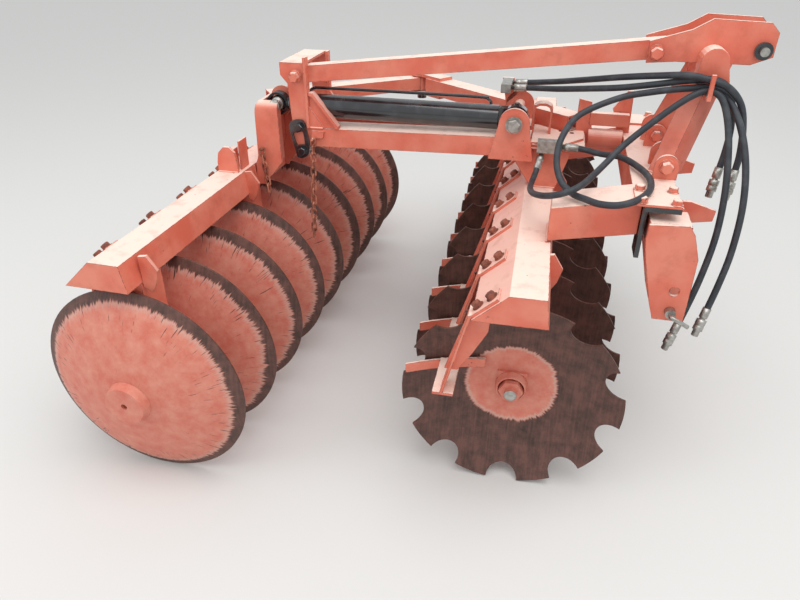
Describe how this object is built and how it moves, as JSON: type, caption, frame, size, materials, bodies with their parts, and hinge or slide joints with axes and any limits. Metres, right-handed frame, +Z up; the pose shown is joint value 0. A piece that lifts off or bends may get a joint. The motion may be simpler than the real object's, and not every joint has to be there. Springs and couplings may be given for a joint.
{
  "type": "disc harrow",
  "caption": "Mounted offset disc harrow with a notched front gang and a plain rear gang on folded beams, opened by a hydraulic cylinder, with a three-point hitch.",
  "frame": {"origin": "middle of the footprint on the ground", "axes": "+X forwards to the hitch, +Y to the machine's left, along the gangs, +Z up"},
  "size_m": [2.0348, 2.2615, 1.3299],
  "materials": {
    "paint": "faded gloss",
    "rusty_steel": "rusted",
    "black_steel": "gloss",
    "pin_steel": "zinc plated",
    "rod_chrome": "polished"
  },
  "bodies": {
    "frame": {"main_tubes": "paint", "mast_upright": "paint", "front_bracket": "paint", "pedestal": "paint", "swing_arm": "paint", "kingpin": "black_steel", "upper_brace": "paint", "brace_pins": "pin_steel", "headstock": "paint", "hitch_struts": "paint", "top_link_pin": "pin_steel", "hitch_crossbeam": "paint", "hitch_arms": "paint", "lower_hitch_near": "paint", "lower_hitch_far": "paint", "lower_link_pins": "pin_steel", "front_beam": "paint", "front_hangers": "paint", "front_bearings": "paint", "front_scrapers": "paint", "stop_link": "black_steel", "limit_chain": "rusty_steel"},
    "front_gang": {"front_discs": "rusty_steel", "front_spools": "rusty_steel", "front_axle": "rusty_steel"},
    "rear_carrier": {"rear_beam": "paint", "rear_hangers": "paint", "rear_bearings": "paint", "rear_scrapers": "paint", "gooseneck": "paint", "rod_pin": "pin_steel", "rear_arm": "paint"},
    "rear_gang": {"rear_discs": "paint", "rear_spools": "rusty_steel", "rear_axle": "rusty_steel"},
    "cylinder_barrel": {"cylinder_barrel": "black_steel"},
    "cylinder_rod": {"cylinder_rod": "rod_chrome"}
  },
  "joints": [
    {"name": "front_gang_spin", "type": "hinge", "parent": "frame", "child": "front_gang", "pos_m": [0.41347, -0.825, 0.33], "axis": [-0.0192, 0.9998, 0], "continuous": true},
    {"name": "rear_swing", "type": "hinge", "parent": "frame", "child": "rear_carrier", "pos_m": [-0.13753, 0.485, 0.942], "axis": [0, 0, -1], "range_deg": [0, 18]},
    {"name": "rear_gang_spin", "type": "hinge", "parent": "rear_carrier", "child": "rear_gang", "pos_m": [-0.68753, -1.015, 0.33], "axis": [0.0192, 0.9998, 0], "continuous": true},
    {"name": "cylinder_swivel", "type": "hinge", "parent": "frame", "child": "cylinder_barrel", "pos_m": [0.31547, -0.155, 0.985], "axis": [0, 0, -1], "range_deg": [0, 9]},
    {"name": "rod_slide", "type": "slide", "parent": "cylinder_barrel", "child": "cylinder_rod", "axis": [-1, 0, 0], "range_m": [0, 0.2]}
  ],
  "couplings": [
    {"joint": "cylinder_swivel", "follows": "rear_swing", "ratio": 0.4747},
    {"joint": "rod_slide", "follows": "rear_swing", "m_per_rad": 0.604}
  ]
}
